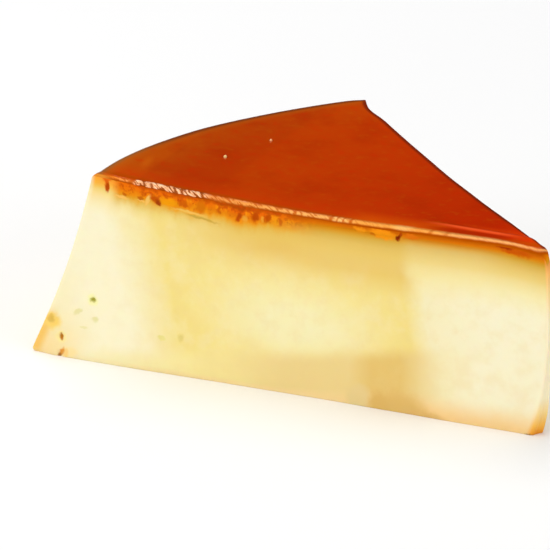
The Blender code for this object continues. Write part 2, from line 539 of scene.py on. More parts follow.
def cut_tones(at, drift, wandering):
    """Cream to butter along the front cut with wandering borders, and clouded behind it."""
    middle = ramp(calculated("DIVIDE", wandering, CUT_LENGTH), MIDDLE_TONES)[0]
    bright = spot(at.where, on_front_cut(*BRIGHT_PATCH), BRIGHT_REACH, BRIGHT_SOFTNESS)
    middle = mixed(bright, middle, BRIGHT_TONE)
    wisps = times(patches(at.where, *WISPS), ranged(at.from_tip, *WISPS_THIN))
    middle = mixed(wisps, middle, SAND)
    middle = mixed(patches(at.where, *BLOOM), middle, CREAM)
    foot = ramp(at.along, FOOT_TONES)[0]
    foot = mixed(patches(at.where, *FOOT_SAND), foot, SAND)
    low = plus(at.height, times(drift, FOOT_TONE_DRIFT))
    low = plus(times(at.from_tip, FOOT_TONE_LEAN), low)
    tone = mixed(ranged(low, FOOT_TONE_FROM, FOOT_TONE_TO), middle, foot)
    upper = times(ranged(at.depth, *PALE_END_DOWN), ranged(wandering, *PALE_END))
    tone = mixed(upper, tone, BUTTER)
    inside = mixed(patches(at.where, *INSIDE_CLOUDS), INSIDE_PALE, INSIDE_BUTTER)
    return mixed(at.on_front, inside, tone)


# Gold: the faint stain that sank further down in the middle of the slice
GOLD = paint(231, 188, 82)
GOLD_DOWN = (0.0165, 0.0050)
GOLD_ALONG = (0.088, 0.058)


def sunk_gold(at, wandering, colour):
    """A colour with the gold over it."""
    amid = times(ranged(at.from_tip, *GOLD_ALONG), ranged(wandering, *reversed(PALE_END)))
    return mixed(times(ranged(at.depth, *GOLD_DOWN), amid), colour, GOLD)


# Skin: amber at the foot of the wall with a halo round it, thinner further up, and peach along the base
AMBER = paint(244, 196, 94)
PEACH = paint(250, 206, 136)
HALO = paint(249, 212, 136)
PALE_PEACH = paint(250, 218, 158)
SKIN = paint(248, 222, 150)
HALO_UP = (0.0105, 0.0015)
HALO_IN = (0.0135, 0.0025)
HALO_COVER = 0.62
AMBER_UP = (0.0112, 0.0050)
AMBER_IN = (0.0029, 0.0007)
AMBER_COVER = 0.9
FRECKLES = (160.0, 4.0, 0.5, 0.40, 0.80, 0.5)
WALL_AMBER_UP = (0.016, 0.0)
SKIN_IN = (0.0002, 0.00005)
SKIN_FROM_FRONT = (0.0002, 0.0008)
PEACH_TOP = (0.060, 0.020, 0.0014, 0.0060)
PEACH_COVER = (0.100, 0.070, 0.3, 0.9)
PEACH_ALONG = (0.050, 0.020)


def baked_skin(at, colour):
    """A colour with the skin over it."""
    halo = times(ranged(at.height, *HALO_UP), ranged(at.to_wall, *HALO_IN))
    colour = mixed(times(halo, HALO_COVER), colour, HALO)
    at_foot = times(ranged(at.height, *AMBER_UP), ranged(at.to_wall, *AMBER_IN))
    colour = mixed(times(at_foot, AMBER_COVER), colour, AMBER)
    wall_tone = mixed(patches(at.where, *FRECKLES), SKIN, AMBER)
    wall_tone = mixed(ranged(at.height, *WALL_AMBER_UP), wall_tone, AMBER)
    on_wall = times(ranged(at.to_wall, *SKIN_IN), ranged(at.to_front, *SKIN_FROM_FRONT))
    colour = mixed(on_wall, colour, wall_tone)
    share_up = calculated("DIVIDE", at.height, ranged(at.from_tip, *PEACH_TOP))
    base = ranged(share_up, 1.0, 0.0, 0.0, ranged(at.from_tip, *PEACH_COVER))
    peach = mixed(ranged(at.from_tip, *PEACH_ALONG), PALE_PEACH, PEACH)
    return mixed(base, colour, peach)


# Stain: down from the caramel, thick and blotchy far from the tip, smooth and golden near it.
# Its tones are given by the depth, as a share of the stain's reach: far from the tip, near it, at the wall.
STAIN_REACH = 0.010
# Where the stain reaches further down the cut: distance from the tip, half width and how much further
STAIN_DIPS = (
    (0.0655, 0.0065, 0.0008),
    (0.0775, 0.0040, 0.0004),
    (0.0905, 0.0040, -0.0005),
)
OUTER_STAIN = (
    (0.070, paint(182, 74, 2), 1.0),
    (0.110, paint(208, 88, 2), 1.0),
    (0.150, paint(234, 110, 6), 1.0),
    (0.250, paint(236, 124, 6), 1.0),
    (0.330, paint(239, 146, 16), 1.0),
    (0.385, paint(236, 166, 44), 1.0),
    (0.480, paint(232, 188, 84), 0.90),
    (0.620, paint(236, 206, 114), 0.45),
    (0.820, paint(242, 216, 138), 0.0),
)
INNER_STAIN = (
    (0.063, paint(186, 84, 0), 1.0),
    (0.126, paint(218, 110, 2), 1.0),
    (0.189, paint(221, 137, 14), 1.0),
    (0.252, paint(221, 159, 44), 1.0),
    (0.336, paint(221, 178, 78), 1.0),
    (0.462, paint(230, 194, 99), 0.95),
    (0.630, paint(236, 204, 112), 0.80),
    (1.000, paint(242, 222, 150), 0.0),
)
CORNER_STAIN = (
    (0.040, paint(226, 124, 34), 1.0),
    (0.100, paint(250, 166, 50), 1.0),
    (0.200, paint(250, 180, 64), 1.0),
    (0.270, paint(249, 198, 90), 1.0),
    (0.340, paint(252, 214, 122), 0.95),
    (0.430, paint(252, 220, 140), 0.90),
    (0.560, paint(250, 227, 162), 0.75),
    (0.900, paint(250, 236, 184), 0.0),
)
STAIN_LOBE_GRAIN = (330.0, 1.0)
STAIN_LOBES = 0.0020
STAIN_FINE_GRAIN = (1100.0, 2.0)
STAIN_GRAIN = 0.0010
DRIP_STRETCH = (1.0, 1.0, 0.55)
INNER_FROM = 0.0460
OUTER_FROM = 0.0600
BAND_FOOT = (0.0038, 0.0030)
BRIGHT_BLOTCH = paint(248, 160, 14)
BRIGHT_BLOTCHES = (420.0, 2.0, 0.5, 0.52, 0.66, 0.8)
BRIGHT_BLOTCH_DEPTH = (0.0010, 0.0020)
BLOTCH = paint(208, 86, 2)
BLOTCHES = (640.0, 4.0, 0.6, 0.51, 0.66, 0.85)
SPECK = paint(206, 78, 4)
SPECKS = (1300.0, 3.0, 0.5, 0.51, 0.63, 0.75)
SPECK_DEPTH = (0.0032, 0.0022)
THINNER = 0.20
THINNER_DEPTH = (0.0014, 0.0036)
THINNER_ALONG = (0.0060, 0.0160)
CORNER_IN = (0.0068, 0.0042)
CORNER_THINS = (0.0001, 0.0012, 0.45, 1.0)


def outer_stain(at, stained, drawn):
    """The stain far from the tip: its tone, with bright and dark blotches and specks, and its cover."""
    tone, cover = ramp(calculated("DIVIDE", stained, STAIN_REACH), OUTER_STAIN)
    in_band = ranged(stained, *BAND_FOOT)
    brights = times(patches(drawn, *BRIGHT_BLOTCHES), ranged(at.depth, *BRIGHT_BLOTCH_DEPTH))
    tone = mixed(times(brights, in_band), tone, BRIGHT_BLOTCH)
    tone = mixed(times(patches(drawn, *BLOTCHES), in_band), tone, BLOTCH)
    specks = times(patches(at.where, *SPECKS), ranged(stained, *SPECK_DEPTH))
    return mixed(specks, tone, SPECK), cover


def caramel_stain(at, wandering, colour):
    """A colour with the stain over it."""
    drawn = add("VectorMath", {0: at.where, 1: DRIP_STRETCH}, operation="MULTIPLY").outputs[0]
    lobes = wander(drawn, *STAIN_LOBE_GRAIN, STAIN_LOBES)
    grain = wander(drawn, *STAIN_FINE_GRAIN, STAIN_GRAIN)
    stained = plus(at.depth, plus(lobes, grain))
    for place, half_width, further in STAIN_DIPS:
        stained = minus(stained, near(at.from_tip, place, half_width, 0.0, further))
    outer, outer_cover = outer_stain(at, stained, drawn)
    sunk = calculated("DIVIDE", at.depth, STAIN_REACH)
    inner, inner_cover = ramp(sunk, INNER_STAIN)
    corner, corner_cover = ramp(sunk, CORNER_STAIN)
    far = ranged(at.from_tip, INNER_FROM, OUTER_FROM)
    stain = mixed(far, inner, outer)
    thinner = times(ranged(wandering, *PALE_END, 0.0, THINNER), ranged(at.depth, *THINNER_DEPTH))
    thinner = times(thinner, ranged(at.from_tip, *THINNER_ALONG))
    inner_cover = times(inner_cover, minus(1.0, thinner))
    cover = mixed_value(far, inner_cover, outer_cover)
    at_corner = times(at.on_front, ranged(at.to_wall, *CORNER_IN))
    stain = mixed(at_corner, stain, corner)
    corner_cover = times(corner_cover, ranged(at.to_wall, *CORNER_THINS))
    cover = mixed_value(at_corner, cover, corner_cover)
    return mixed(cover, colour, stain)


# The blunt tip, browned at its foot and stained at its top, by height as a share of the slice's.
# Its tones are painted lighter, to make up for the shade on the blunt end.
TIP_TONES = (
    (0.000, paint(244, 156, 40), 1.0),
    (0.050, paint(252, 190, 84), 1.0),
    (0.120, paint(254, 220, 148), 1.0),
    (0.200, paint(254, 238, 200), 1.0),
    (0.620, paint(252, 236, 200), 1.0),
    (0.760, paint(252, 218, 152), 1.0),
    (0.860, paint(250, 190, 110), 1.0),
    (0.930, paint(238, 146, 58), 1.0),
)
TIP_IN = (0.0009, 0.0002)
TIP_BROWN_IN = (0.0017, 0.0005)
TIP_BROWN_UP = (0.0090, 0.0010)


def blunt_tip(at, colour):
    """A colour with the tip's tones over it round its blunt end, painted lighter against the shade there.
    """
    blunt = ramp(calculated("DIVIDE", at.height, HEIGHT), TIP_TONES)[0]
    colour = mixed(ranged(at.to_tip, *TIP_IN), colour, blunt)
    browned = times(ranged(at.to_tip, *TIP_BROWN_IN), ranged(at.height, *TIP_BROWN_UP))
    return mixed(browned, colour, blunt)


# Marks: burst pores, tears and drips on the front cut, and a painted highlight and shade at the crease,
# with uneven outlines
MARK_GRAIN = 900.0
MARK_DETAIL = 2.0
MARK_UNEVEN = (0.0009, 0.0, 0.0012)
MARK_DEPTH = 0.004
MARK_SOFTNESS = 0.6
# Each mark on the front cut: distance from the tip, height, half width, half height, lean in degrees, tone
MARKS = (
    (0.0969, 0.0127, 0.00160, 0.00150, 0, paint(250, 244, 176)),
    (0.0969, 0.0127, 0.00095, 0.00070, -20, paint(176, 168, 62)),
    (0.1034, 0.0040, 0.00180, 0.00150, 0, paint(253, 232, 158)),
    (0.1034, 0.0040, 0.00066, 0.00084, 0, paint(190, 122, 30)),
    (0.1014, 0.0012, 0.00260, 0.00170, 0, paint(253, 226, 164)),
    (0.1023, 0.0010, 0.00120, 0.00120, 0, paint(253, 212, 134)),
    (0.1031, 0.0010, 0.00062, 0.00165, 26, paint(232, 160, 66)),
    (0.1035, 0.0002, 0.00056, 0.00056, 0, paint(176, 118, 52)),
    (0.1056, 0.0070, 0.00260, 0.00230, 0, paint(250, 212, 110)),
    (0.1060, 0.0073, 0.00120, 0.00120, 0, paint(228, 190, 92)),
    (0.1001, 0.0097, 0.00160, 0.00065, -38, paint(236, 226, 166)),
    (0.0963, 0.0086, 0.00110, 0.00080, 0, paint(238, 228, 170)),
    (0.0987, 0.0067, 0.00120, 0.00040, 0, paint(242, 230, 172)),
    (0.0818, 0.0071, 0.00130, 0.00080, 0, paint(239, 225, 144)),
    (0.0776, 0.0079, 0.00090, 0.00110, 0, paint(233, 212, 130)),
    (0.0945, 0.0389, 0.00140, 0.00110, 8, paint(236, 110, 14)),
    (0.0945, 0.0374, 0.00068, 0.00190, -6, paint(222, 100, 14)),
    (0.0944, 0.0369, 0.00046, 0.00115, -10, paint(188, 76, 4)),
    (0.0913, 0.0354, 0.00200, 0.00036, 3, paint(252, 194, 96)),
    (0.0869, 0.0353, 0.00110, 0.00034, 3, paint(252, 194, 90)),
    (0.0906, 0.0361, 0.00070, 0.00060, 0, paint(208, 100, 4)),
    (0.0871, 0.0357, 0.00100, 0.00050, 0, paint(208, 104, 6)),
    (0.0854, 0.0358, 0.00055, 0.00160, 28, paint(250, 196, 96)),
    (0.0808, 0.0360, 0.00270, 0.00120, 0, paint(250, 158, 6)),
    (0.0839, 0.0360, 0.00095, 0.00170, -50, paint(206, 88, 0)),
    (0.0833, 0.0354, 0.00058, 0.00100, -55, paint(166, 64, 2)),
    (0.0774, 0.0361, 0.00085, 0.00110, 0, paint(216, 98, 2)),
    (0.0739, 0.0361, 0.00150, 0.00200, 10, paint(222, 116, 4)),
    (0.0657, 0.0353, 0.00068, 0.00150, 27, paint(196, 78, 0)),
    (0.0645, 0.0351, 0.00070, 0.00110, 20, paint(240, 162, 48)),
    (0.0622, 0.0358, 0.00095, 0.00170, 18, paint(200, 80, 0)),
    (0.0606, 0.0354, 0.00050, 0.00100, 15, paint(240, 158, 42)),
    (0.0594, 0.0363, 0.00072, 0.00140, 12, paint(202, 84, 0)),
    (0.0396, 0.0369, 0.00190, 0.00070, 6, paint(246, 148, 18)),
    (0.0348, 0.0367, 0.00400, 0.00135, 6, paint(250, 150, 16)),
    (0.0370, 0.0363, 0.00085, 0.00055, 6, paint(214, 112, 6)),
    (0.0286, 0.0371, 0.00200, 0.00090, 0, paint(228, 114, 12)),
    (0.0312, 0.0368, 0.00046, 0.00150, 32, paint(178, 70, 0)),
    (0.0316, 0.0363, 0.00052, 0.00075, 40, paint(140, 42, 0)),
    (0.0067, 0.0378, 0.00500, 0.00140, 8, paint(206, 88, 2)),
    (0.0088, 0.0383, 0.00240, 0.00065, 4, paint(168, 54, 0)),
    # A painted highlight just above the crease, and painted shade along it
    (0.0762, 0.03455, 0.00480, 0.00034, 4, paint(242, 190, 88)),
    (0.0736, 0.0336, 0.00460, 0.00042, 8, paint(210, 168, 68)),
    (0.0024, 0.0000, 0.00110, 0.00050, 0, paint(150, 112, 64)),
    (0.0389, 0.0016, 0.00360, 0.00420, 0, paint(234, 209, 146)),
    (0.0302, 0.0000, 0.00800, 0.00580, 0, paint(227, 189, 110)),
    (0.0345, 0.0006, 0.00270, 0.00420, 0, paint(226, 186, 105)),
    (0.0255, -0.0006, 0.00720, 0.00250, 0, paint(229, 186, 112)),
)


def marked(at, colour):
    """A colour with the marks over it."""
    noises = {"Vector": at.where, "Scale": MARK_GRAIN, "Detail": MARK_DETAIL}
    unsteady = add("TexNoise", noises).outputs["Color"]
    unsteady = add("VectorMath", {0: unsteady, 1: (0.5, 0.5, 0.5)}, operation="SUBTRACT").outputs[0]
    unsteady = add("VectorMath", {0: unsteady, 1: MARK_UNEVEN}, operation="MULTIPLY").outputs[0]
    uneven = add("VectorMath", {0: at.where, 1: unsteady}, operation="ADD").outputs[0]
    for from_tip, up, half_width, half_height, lean, mark in MARKS:
        reach = (half_width, MARK_DEPTH, half_height)
        turn = (0.0, math.radians(lean), 0.0)
        share = spot(uneven, on_front_cut(from_tip, up), reach, MARK_SOFTNESS, turn)
        colour = mixed(share, colour, mark)
    return colour


def cut_colour(at):
    """The colour of the custard and of the caramel that soaked into it, at every place in the slice."""
    drift = wander(at.where, *DRIFT_GRAIN, DRIFT)
    leaning = times(minus(at.height, CUT_MIDDLE), CUT_LEAN)
    wandering = plus(minus(at.from_tip, leaning), drift)
    colour = cut_tones(at, drift, wandering)
    colour = sunk_gold(at, wandering, colour)
    colour = baked_skin(at, colour)
    colour = caramel_stain(at, wandering, colour)
    colour = blunt_tip(at, colour)
    return marked(at, colour)


def coated(piece, name):
    """A new material on a piece, given by its node tree and its shader."""
    material = bpy.data.materials.new(name)
    material.use_nodes = True
    piece.data.materials.append(material)
    return material.node_tree, material.node_tree.nodes["Principled BSDF"]


# The custard is a little translucent, damp in patches, and shines less where the stain is
CUT_SHINE = (0.0015, 0.0060, 0.02, 0.07)
DAMP_GRAIN = (120.0, 3.0)
DAMPNESS = (0.3, 0.7, 0.32, 0.50)
CURD_GRAINS = ((700.0, 4.0), (140.0, 2.0))
tree, shader = coated(custard, "baked_custard")
at = place_in_slice(tree)
curds = plus(*[speckle(at.where, *grain) for grain in CURD_GRAINS])
custard_finish = {
    "Base Color": cut_colour(at),
    "Subsurface Weight": 0.30,
    "Subsurface Radius": (1.0, 0.6, 0.25),
    "Subsurface Scale": 0.0012,
    "Specular IOR Level": ranged(at.depth, *CUT_SHINE),
    "Roughness": ranged(speckle(at.where, *DAMP_GRAIN), *DAMPNESS),
    "Normal": add("Bump", {"Height": curds, "Distance": 0.00008, "Strength": 0.5}).outputs[0],
}
feed(shader, custard_finish)
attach(custard, "root")
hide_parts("custard")

# The caramel: sugar melted dark and poured in the tin first, so it soaked into what became the top.
# It is wet and glossy on top. The knife dragged it into a beaded edge, and it stained the cut orange.
# The layer is bent from a block like the custard, with its upper edges rounded and then roughened.
CARAMEL_ROWS = (430, 46, 12)
CARAMEL_CROWDING = (0.30, 0.975, 0.55)
EDGE_ROUND = 0.0008
BACK_EDGE_ROUND = 0.0002
BACK_EDGE_SOFTENS = (0.006, 0.022)
TIP_TOP_ROUND = 0.0031
# Beads: the wet edge is beaded from the middle of the slice on, and torn to lace further out
LACE_FROM = 0.0715
LACE_TO = 0.0885
BEADS_FROM = 0.056
BEADS_FADE = 0.014
BEADS_FADE_BY_RIM = BEADS_FADE / 3.0
BEAD_LENGTH = 0.0013
BEAD_HEIGHT = 0.00028
BEAD_REACH = 0.0011
BEADS_EVERYWHERE = 0.12
EDGE_SWELL = 0.00012
EDGE_SWELL_AT = 0.0009
EDGE_SWELL_WIDTH = 0.0007
SWELL = 0.00010
SWELL_LENGTH = 0.016
SWELLS_END = (0.0005, 0.0012)
# The ridge: a low fold in the top beside the cut near the tip, placed by its two ends
RIDGE = 0.00022
RIDGE_WIDTH = 0.0010
RIDGE_FROM_TIP = (0.006, 0.030)
RIDGE_FROM_CUT = (0.0044, 0.0064)
RIDGE_STARTS = (-0.2, 0.1)
RIDGE_ENDS = (0.7, 1.1)


def on_top(radius, angle):
    """The place on the dished top at a distance from the tip and an angle."""
    x = TIP_X - radius * math.cos(angle)
    return Vector((x, FRONT_Y + radius * math.sin(angle), dished_top(radius, angle)))


def caramel_top(radius, angle):
    """Height of the caramel's upper side."""
    to_back = radius * math.sin(SLICE_ANGLE - angle)
    crisp = smooth_step(*BACK_EDGE_SOFTENS, radius)
    drop = max(
        quarter_round(radius * math.sin(angle), EDGE_ROUND),
        quarter_round(to_back, EDGE_ROUND + (BACK_EDGE_ROUND - EDGE_ROUND) * crisp),
        quarter_round(SHOULDER_RADIUS - radius, RIM_ROUND),
        quarter_round(radius - TIP_ROUND_TOP, TIP_TOP_ROUND),
    )
    return dished_top(radius, angle) - drop


def caramel_relief(radius, angle, height):
    """Shift of a point of the caramel: the cut's, with swells on top and beads along the front edge."""
    x, y, z = cut_relief(radius, angle, height)
    to_front = radius * math.sin(angle)
    depth = dished_top(radius, angle) - height
    from_edge = math.hypot(to_front, depth)
    beaded = smooth_step(BEADS_FROM, BEADS_FROM + BEADS_FADE, radius)
    beaded *= 1.0 - smooth_step(LACE_TO, LACE_TO + BEADS_FADE_BY_RIM, radius)
    beads = BEAD_HEIGHT * (BEADS_EVERYWHERE + (1.0 - BEADS_EVERYWHERE) * beaded)
    bead = noise.noise(Vector((radius, to_front - depth, 0.3)) / BEAD_LENGTH)
    push = beads * bell(from_edge, BEAD_REACH) * bead
    push += EDGE_SWELL * bell(from_edge - EDGE_SWELL_AT, EDGE_SWELL_WIDTH)
    on_top_side = 1.0 - smooth_step(*SWELLS_END, depth)
    swell = SWELL * noise.noise(Vector((radius * math.cos(angle), to_front, 0.7)) / SWELL_LENGTH)
    along_ridge = (radius - RIDGE_FROM_TIP[0]) / (RIDGE_FROM_TIP[1] - RIDGE_FROM_TIP[0])
    ridge_line = RIDGE_FROM_CUT[0] + (RIDGE_FROM_CUT[1] - RIDGE_FROM_CUT[0]) * along_ridge
    ends = smooth_step(*RIDGE_STARTS, along_ridge) * (1.0 - smooth_step(*RIDGE_ENDS, along_ridge))
    ridge = RIDGE * ends * bell(to_front - ridge_line, RIDGE_WIDTH)
    return x, y - push, z + push + on_top_side * (swell + ridge)


caramel = wedge_layer(
    "caramel_layer",
    CARAMEL_ROWS,
    CARAMEL_CROWDING,
    caramel_underside,
    caramel_top,
    caramel_relief,
    upper_look=True,
)
caramel.data.materials.append(custard.data.materials[0])

# The top's tones: along the slice from the tip, browner at the wall and brighter by the front edge,
# where a painted glow lies beside the glint line
TOP_TONES = (
    (0.000, paint(196, 60, 6), 1.0),
    (0.045, paint(220, 58, 4), 1.0),
    (0.085, paint(214, 51, 3), 1.0),
    (0.125, paint(197, 42, 2), 1.0),
    (0.300, paint(197, 50, 3), 1.0),
    (0.450, paint(199, 57, 3), 1.0),
    (0.620, paint(197, 63, 3), 1.0),
    (0.760, paint(191, 56, 3), 1.0),
    (1.000, paint(199, 68, 4), 1.0),
)
TOP_BROWN = paint(194, 83, 8)
TOP_BROWN_IN = (0.018, 0.003, 0.0, 0.85)
TOP_BROWN_BACK = (0.015, 0.055, 1.0, 0.35)
TOP_DARK = paint(178, 42, 2)
TOP_CLOUDS = (110.0, 4.0, 0.6, 0.42, 0.75, 0.45)
TOP_RED = paint(210, 42, 0)
TOP_GRAIN = (420.0, 4.0, 0.6)
BROWN_GRAINS = (0.52, 0.75, 0.0, 0.40)
RED_GRAINS = (0.48, 0.28, 0.0, 0.40)
EDGE_RED = paint(222, 62, 5)
EDGE_RED_BACK = (0.010, 0.002, 0.0, 0.35)
EDGE_RED_ALONG = (0.025, 0.045)
EDGE_DARK = paint(190, 76, 2)
EDGE_DARK_BACK = (0.0036, 0.0018, 0.0, 0.7)
# A painted glow: lighter orange on the top beside the front edge's glint line
PAINTED_EDGE_GLOW = paint(224, 86, 5)
EDGE_GLOW_BACK = (0.0088, 0.0020, 0.0, 0.8)
EDGE_GLOW_ALONG = ((0.019, 0.027), (0.047, 0.038))
PALE_STREAK = paint(210, 98, 14)
PALE_STREAK_PLACE = (0.0908, 0.0114)
PALE_STREAK_REACH = (0.0016, 0.0060, 0.0100)
PALE_STREAK_TURN = 0.2
PALE_STREAK_COVER = 0.6


def top_colour(at):
    """The red-brown film on the top, with its clouds, grain, pale streak and painted glow by the front
    edge.
    """
    colour = ramp(at.along, TOP_TONES)[0]
    brown = times(ranged(at.to_wall, *TOP_BROWN_IN), ranged(at.to_front, *TOP_BROWN_BACK))
    colour = mixed(brown, colour, TOP_BROWN)
    colour = mixed(patches(at.where, *TOP_CLOUDS), colour, TOP_DARK)
    grain = speckle(at.where, *TOP_GRAIN)
    colour = mixed(ranged(grain, *BROWN_GRAINS), colour, TOP_BROWN)
    colour = mixed(ranged(grain, *RED_GRAINS), colour, TOP_RED)
    red = times(ranged(at.to_front, *EDGE_RED_BACK), ranged(at.from_tip, *EDGE_RED_ALONG))
    colour = mixed(red, colour, EDGE_RED)
    colour = mixed(ranged(at.to_front, *EDGE_DARK_BACK), colour, EDGE_DARK)
    glow = times(*[ranged(at.from_tip, *end) for end in EDGE_GLOW_ALONG])
    glow = times(glow, ranged(at.to_front, *EDGE_GLOW_BACK))
    colour = mixed(glow, colour, PAINTED_EDGE_GLOW)
    place = on_front_cut(PALE_STREAK_PLACE[0], HEIGHT) + Vector((0.0, PALE_STREAK_PLACE[1], 0.0))
    streak = spot(at.where, place, PALE_STREAK_REACH, 1.0, (0.0, 0.0, PALE_STREAK_TURN))
    return mixed(times(streak, PALE_STREAK_COVER), colour, PALE_STREAK)


# Two bubbles in the film, by distance from the tip, angle and size. A painted shadow darkens a ring round
# each.
BUBBLES = ((0.08230, 0.2884, 0.00036), (0.08355, 0.4607, 0.00031))
BUBBLE_SHADOW = paint(140, 46, 0)
RING_SHARE = 2.6
RING_DEPTH = 0.002
RING_SOFTNESS = 0.8
RING_COVER = 0.55


def bubble_shadowed(at, colour):
    """A colour with the painted shadows round the bubbles over it."""
    for radius, angle, size in BUBBLES:
        reach = (RING_SHARE * size, RING_SHARE * size, RING_DEPTH)
        ring = spot(at.where, on_top(radius, angle), reach, RING_SOFTNESS)
        colour = mixed(times(ring, RING_COVER), colour, BUBBLE_SHADOW)
    return colour


# The ridge beside the cut near the tip: a painted highlight on it, a softer painted glow round it,
# and painted shade in a band along its front
RIDGE_HIGHLIGHT = paint(252, 92, 40)
RIDGE_HIGHLIGHT_WIDTH = (0.0011, 0.0001)
RIDGE_HIGHLIGHT_ALONG = ((0.030, 0.020), (0.006, 0.013))
RIDGE_HIGHLIGHT_COVER = 0.9
RIDGE_PAINTED_GLOW = paint(238, 70, 8)
RIDGE_GLOW_WIDTH = (0.0040, 0.0006, 0.0, 0.6)
RIDGE_GLOW_ALONG = ((0.024, 0.014), (0.003, 0.008))
RIDGE_SHADE = paint(180, 40, 0)
RIDGE_SHADE_FROM_CUT = 0.0033
RIDGE_SHADE_WIDTH = (0.0016, 0.0006)
RIDGE_SHADE_COVER = 0.8


def ridge_lit_and_shaded(at, colour):
    """A colour with the ridge's painted highlight and glow, and the painted shade in front of it."""
    slope = (RIDGE_FROM_CUT[1] - RIDGE_FROM_CUT[0]) / (RIDGE_FROM_TIP[1] - RIDGE_FROM_TIP[0])
    ridge_line = plus(times(at.from_tip, slope), RIDGE_FROM_CUT[0] - slope * RIDGE_FROM_TIP[0])
    from_ridge = calculated("ABSOLUTE", minus(at.to_front, ridge_line))
    beside = times(*[ranged(at.from_tip, *end) for end in RIDGE_HIGHLIGHT_ALONG])
    shaded_band = near(at.to_front, RIDGE_SHADE_FROM_CUT, *RIDGE_SHADE_WIDTH)
    colour = mixed(times(times(shaded_band, beside), RIDGE_SHADE_COVER), colour, RIDGE_SHADE)
    beyond = times(*[ranged(at.from_tip, *end) for end in RIDGE_GLOW_ALONG])
    beyond = times(beyond, ranged(from_ridge, *RIDGE_GLOW_WIDTH))
    colour = mixed(times(beyond, minus(1.0, shaded_band)), colour, RIDGE_PAINTED_GLOW)
    ridge = times(ranged(from_ridge, *RIDGE_HIGHLIGHT_WIDTH), beside)
    return mixed(times(ridge, RIDGE_HIGHLIGHT_COVER), colour, RIDGE_HIGHLIGHT)


# Painted shade: a dark outline along the rim and the back edge, where the top rounds over at its edges,
# with a softer brown further in from the rim
RIM_SOFT = paint(188, 88, 16)
RIM_SOFT_IN = (0.0050, 0.0024, 0.0, 0.8)
RIM_SHADE = paint(132, 62, 24)
RIM_SHADE_OLIVE = paint(158, 96, 44)
RIM_TURNS = (0.032, 0.008)
RIM_WIDTHS = (0.0034, 0.0029)
RIM_FADE = 0.0012
RIM_SHADE_COVER = 0.95
BACK_EDGE_SHADE = paint(124, 38, 12)
BACK_EDGE_SHADE_IN = (0.0013, 0.0005)
BACK_EDGE_SHADE_ALONG = (0.0010, 0.0045, 0.25, 0.95)


def rim_shaded(at, colour):
    """A colour with the rim's soft brown and the painted shade along the rim and the back edge over it."""
    colour = mixed(ranged(at.to_wall, *RIM_SOFT_IN), colour, RIM_SOFT)
    rim_shade_tone = mixed(ranged(at.to_front, *RIM_TURNS), RIM_SHADE, RIM_SHADE_OLIVE)
    rim_from = ranged(at.to_front, *RIM_TURNS, *RIM_WIDTHS)
    rim = ranged(at.to_wall, rim_from, minus(rim_from, RIM_FADE), 0.0, RIM_SHADE_COVER)
    colour = mixed(rim, colour, rim_shade_tone)
    back = times(ranged(at.to_back, *BACK_EDGE_SHADE_IN), ranged(at.to_wall, *BACK_EDGE_SHADE_ALONG))
    return mixed(back, colour, BACK_EDGE_SHADE)


# The front edge: a painted highlight, a pale glint line over a dark one, broken into lace of painted glints
# where the knife dragged the caramel, whose beads also catch a real glint.
# The line's tones go along the slice, each with how far below the edge the line ends there, in mm.
GLINT_LINE_TONES = (
    (0.000, paint(252, 178, 104), 0.22),
    (0.035, paint(252, 172, 98), 0.24),
    (0.070, paint(252, 176, 100), 0.26),
    (0.120, paint(252, 174, 100), 0.30),
    (0.185, paint(252, 174, 94), 0.30),
    (0.230, paint(252, 168, 74), 0.36),
    (0.310, paint(254, 168, 72), 0.50),
    (0.370, paint(250, 164, 70), 0.60),
    (0.400, paint(255, 194, 112), 0.78),
    (0.416, paint(255, 190, 108), 0.78),
    (0.430, paint(252, 176, 94), 0.66),
    (0.480, paint(254, 182, 98), 0.66),
    (0.530, paint(254, 176, 90), 0.74),
    (0.590, paint(246, 162, 78), 0.86),
    (0.630, paint(240, 150, 74), 0.92),
    (0.668, paint(244, 152, 82), 0.68),
    (0.700, paint(244, 152, 82), 0.80),
    (0.733, paint(244, 152, 82), 0.92),
    (0.765, paint(240, 150, 80), 0.74),
    (0.808, paint(240, 150, 80), 0.74),
    (0.823, paint(253, 164, 86), 0.66),
    (0.846, paint(248, 140, 46), 0.74),
    (0.862, paint(236, 120, 24), 0.90),
    (0.890, paint(232, 160, 76), 0.80),
)
MILLIMETRE = 0.001
LINE_START_ALONG = (0.030, 0.055)
LINE_FROM_NEAR_TIP = -0.0029
LINE_FROM = -0.0019
LINE_FADES_IN = 0.0019
LINE_FADES_OUT = 0.00075
LINE_NARROWS = (0.0005, 0.0150, 0.30, 1.0)
LINE_NARROWS_BY_RIM = (0.0840, 0.0900, 1.0, 0.7)
LACE_STARTS = (LACE_FROM, LACE_FROM + 0.003)
LACE_ENDS = (LACE_TO + 0.0006, LACE_TO - 0.0006)
LACE_FROM_EDGE = -0.0017
LACE_FADES_IN = 0.0005
LACE_FADES_OUT = 0.0002
OUTER_LINE_FROM = -0.00085
OUTER_LINE_AT = (0.0885, 0.0895)
RAGGED_GRAIN = (600.0, 2.0)
RAGGED_BY_LACE = (0.0, 1.0, 0.0004, 0.0009)
# The strokes of the knife: how they lean and flatten, and how they mottle the line and draw the lace
STROKE_LEAN = 0.9
STROKE_FLATNESS = 0.4
STROKE_GRAIN = (1350.0, 2.0)
MOTTLES = (0.54, 0.41)
MOTTLES_ALONG = (0.030, 0.060, 0.20, 0.88)
LACE_PALE_FROM = (0.44, 0.52)
LACE_BRIGHT_FROM = (0.54, 0.64)
BREAK_MIDDLE = 0.0001
